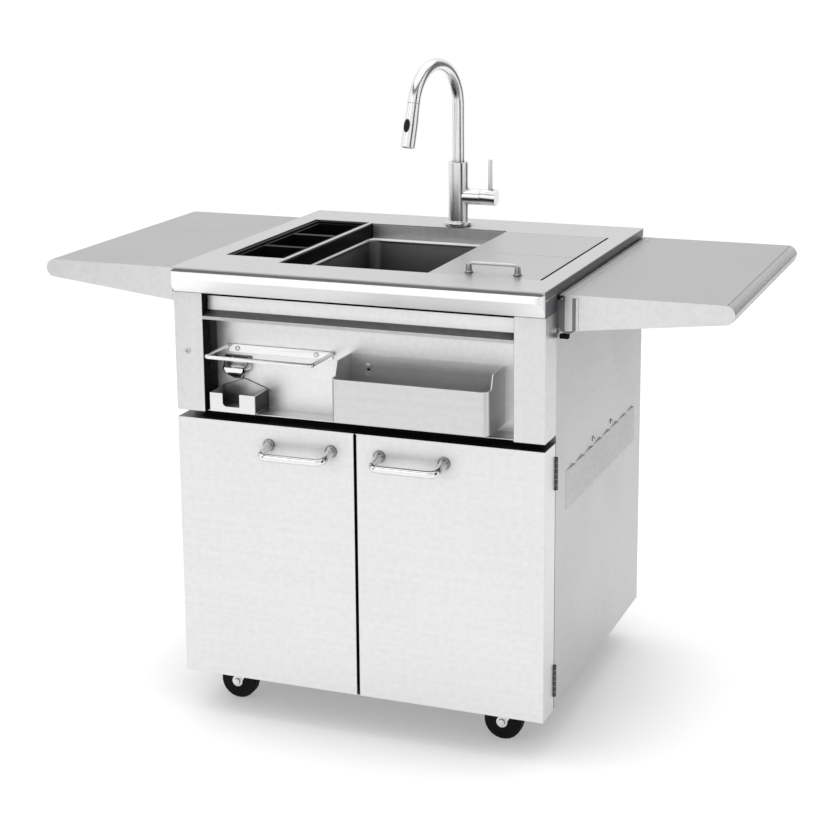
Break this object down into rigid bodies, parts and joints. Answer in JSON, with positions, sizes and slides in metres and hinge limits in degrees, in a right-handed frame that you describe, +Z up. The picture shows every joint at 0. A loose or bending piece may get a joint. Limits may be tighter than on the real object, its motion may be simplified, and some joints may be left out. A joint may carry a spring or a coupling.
{
  "type": "bar sink with ice bin",
  "caption": "Stainless outdoor bar cart on casters with a sink and tap, ice bin, condiment pans, bottle rail, opener, doors and fold-down side shelves.",
  "frame": {"origin": "middle of the whole part's box, on the floor between the casters", "axes": "+X along the width from the left shelf to the right shelf, +Y from the doors to the back, +Z up"},
  "size_m": [1.402, 0.7684, 1.2784],
  "materials": {
    "cabinet_steel": "fine vertical brush on the doors, posts and side panels",
    "deck_steel": "fine brush along the width of the worktop, lids and shelves",
    "bowl_steel": "satin drawn steel",
    "dark_steel": "plain folded steel in shadow",
    "zinc_steel": "bright zinc",
    "cast_chrome": "polished cast metal",
    "tap_chrome": "brushed nickel, bright",
    "black_plastic": "moulded, fine grain",
    "insulation": "closed-cell foam",
    "wheel_rubber": "hard black rubber tyre on a black core",
    "braided_hose": "braided hose"
  },
  "bodies": {
    "root": {"back_panel": "cabinet_steel", "bottle_opener": "cast_chrome", "caster_plate_back_left": "zinc_steel", "caster_plate_back_right": "zinc_steel", "caster_plate_front_left": "zinc_steel", "caster_plate_front_right": "zinc_steel", "condiment_housing": "black_plastic", "face_frame": "dark_steel", "faucet_body": "tap_chrome", "faucet_nut": "zinc_steel", "floor_panel": "dark_steel", "front_apron": "cabinet_steel", "front_fascia": "cabinet_steel", "front_post_left": "cabinet_steel", "front_post_right": "cabinet_steel", "ice_bin_jacket": "insulation", "ice_bin_liner": "bowl_steel", "shelf_bracket_left": "cabinet_steel", "shelf_bracket_right": "cabinet_steel", "side_panel_left": "cabinet_steel", "side_panel_right": "cabinet_steel", "sink_basin": "bowl_steel", "sink_drain": "zinc_steel", "splash_guard": "black_plastic", "supply_hose_cold": "braided_hose", "supply_hose_hot": "braided_hose", "towel_bar": "cast_chrome", "waste_pipe": "black_plastic", "worktop": "deck_steel"},
    "door_left": {"door_left_shell": "cabinet_steel", "door_left_liner": "dark_steel", "door_left_handle": "cast_chrome"},
    "door_right": {"door_right_shell": "cabinet_steel", "door_right_liner": "dark_steel", "door_right_handle": "cast_chrome"},
    "shelf_left": {"shelf_left": "deck_steel"},
    "shelf_right": {"shelf_right": "deck_steel"},
    "ice_lid_front": {"ice_lid_front": "deck_steel", "ice_lid_handle": "cast_chrome"},
    "ice_lid_rear": {"ice_lid_rear": "deck_steel"},
    "condiment_pan_front": {"condiment_pan_front": "black_plastic"},
    "condiment_pan_middle": {"condiment_pan_middle": "black_plastic"},
    "condiment_pan_rear": {"condiment_pan_rear": "black_plastic"},
    "bottle_rail": {"bottle_rail": "cabinet_steel"},
    "cap_catcher": {"cap_catcher": "cabinet_steel"},
    "sink_strainer": {"sink_strainer": "zinc_steel"},
    "spout": {"faucet_spout": "tap_chrome", "spray_hose": "braided_hose"},
    "spray_head": {"spray_head": "tap_chrome"},
    "spray_button": {"spray_button": "black_plastic"},
    "faucet_cap": {"faucet_cap": "tap_chrome"},
    "faucet_lever": {"faucet_lever": "tap_chrome"},
    "caster_fork_front_left": {"caster_fork_front_left": "zinc_steel"},
    "caster_wheel_front_left": {"caster_wheel_front_left": "wheel_rubber"},
    "caster_fork_front_right": {"caster_fork_front_right": "zinc_steel"},
    "caster_wheel_front_right": {"caster_wheel_front_right": "wheel_rubber"},
    "caster_fork_back_left": {"caster_fork_back_left": "zinc_steel"},
    "caster_wheel_back_left": {"caster_wheel_back_left": "wheel_rubber"},
    "caster_fork_back_right": {"caster_fork_back_right": "zinc_steel"},
    "caster_wheel_back_right": {"caster_wheel_back_right": "wheel_rubber"}
  },
  "joints": [
    {"name": "door_left_hinge", "type": "hinge", "parent": "root", "child": "door_left", "pos_m": [-0.3755, -0.26534, 0.35], "axis": [0, 0, -1], "range_deg": [0, 90]},
    {"name": "door_right_hinge", "type": "hinge", "parent": "root", "child": "door_right", "pos_m": [0.3755, -0.26534, 0.35], "axis": [0, 0, 1], "range_deg": [0, 90]},
    {"name": "shelf_left_fold", "type": "hinge", "parent": "root", "child": "shelf_left", "pos_m": [-0.394, 0.04716, 0.84], "axis": [0, -1, 0], "range_deg": [0, 90]},
    {"name": "shelf_right_fold", "type": "hinge", "parent": "root", "child": "shelf_right", "pos_m": [0.394, 0.04716, 0.84], "axis": [0, 1, 0], "range_deg": [0, 90]},
    {"name": "ice_lid_front_lift", "type": "slide", "parent": "root", "child": "ice_lid_front", "axis": [0, 0, 1], "range_m": [0, 0.12]},
    {"name": "ice_lid_rear_lift", "type": "slide", "parent": "root", "child": "ice_lid_rear", "axis": [0, 0, 1], "range_m": [0, 0.12]},
    {"name": "condiment_pan_front_lift", "type": "slide", "parent": "root", "child": "condiment_pan_front", "axis": [0, 0, 1], "range_m": [0, 0.1]},
    {"name": "condiment_pan_middle_lift", "type": "slide", "parent": "root", "child": "condiment_pan_middle", "axis": [0, 0, 1], "range_m": [0, 0.1]},
    {"name": "condiment_pan_rear_lift", "type": "slide", "parent": "root", "child": "condiment_pan_rear", "axis": [0, 0, 1], "range_m": [0, 0.1]},
    {"name": "bottle_rail_lift", "type": "slide", "parent": "root", "child": "bottle_rail", "axis": [0, 0, 1], "range_m": [0, 0.013]},
    {"name": "cap_catcher_pull", "type": "slide", "parent": "root", "child": "cap_catcher", "axis": [0, -1, 0], "range_m": [0, 0.06]},
    {"name": "sink_strainer_lift", "type": "slide", "parent": "root", "child": "sink_strainer", "axis": [0, 0, 1], "range_m": [0, 0.03]},
    {"name": "spout_swivel", "type": "hinge", "parent": "root", "child": "spout", "pos_m": [-0.008, 0.27216, 1.06], "axis": [0, 0, 1], "range_deg": [-180, 180]},
    {"name": "spray_pull", "type": "slide", "parent": "spout", "child": "spray_head", "axis": [0, 0, -1], "range_m": [0, 0.2], "deforming": ["spray_hose"]},
    {"name": "spray_button_press", "type": "slide", "parent": "spray_head", "child": "spray_button", "axis": [0.1669, 0.9467, -0.2756], "range_m": [0, 0.0012], "stiffness_N_per_m": 600, "springref_m": -0.002},
    {"name": "faucet_cap_turn", "type": "hinge", "parent": "root", "child": "faucet_cap", "pos_m": [0.052, 0.27216, 0.978], "axis": [1, 0, 0], "range_deg": [-45, 45]},
    {"name": "faucet_lever_tilt", "type": "hinge", "parent": "faucet_cap", "child": "faucet_lever", "pos_m": [0.064, 0.27216, 0.978], "axis": [0, 1, 0], "range_deg": [0, 18]},
    {"name": "caster_swivel_front_left", "type": "hinge", "parent": "root", "child": "caster_fork_front_left", "pos_m": [-0.285, -0.23584, 0.09], "axis": [0, 0, 1], "continuous": true},
    {"name": "caster_wheel_spin_front_left", "type": "hinge", "parent": "caster_fork_front_left", "child": "caster_wheel_front_left", "pos_m": [-0.303, -0.23584, 0.038], "axis": [0, 1, 0], "continuous": true},
    {"name": "caster_swivel_front_right", "type": "hinge", "parent": "root", "child": "caster_fork_front_right", "pos_m": [0.285, -0.23584, 0.09], "axis": [0, 0, 1], "continuous": true},
    {"name": "caster_wheel_spin_front_right", "type": "hinge", "parent": "caster_fork_front_right", "child": "caster_wheel_front_right", "pos_m": [0.267, -0.23584, 0.038], "axis": [0, 1, 0], "continuous": true},
    {"name": "caster_swivel_back_left", "type": "hinge", "parent": "root", "child": "caster_fork_back_left", "pos_m": [-0.285, 0.33216, 0.09], "axis": [0, 0, 1], "continuous": true},
    {"name": "caster_wheel_spin_back_left", "type": "hinge", "parent": "caster_fork_back_left", "child": "caster_wheel_back_left", "pos_m": [-0.303, 0.33216, 0.038], "axis": [0, 1, 0], "continuous": true},
    {"name": "caster_swivel_back_right", "type": "hinge", "parent": "root", "child": "caster_fork_back_right", "pos_m": [0.285, 0.33216, 0.09], "axis": [0, 0, 1], "continuous": true},
    {"name": "caster_wheel_spin_back_right", "type": "hinge", "parent": "caster_fork_back_right", "child": "caster_wheel_back_right", "pos_m": [0.267, 0.33216, 0.038], "axis": [0, 1, 0], "continuous": true}
  ]
}
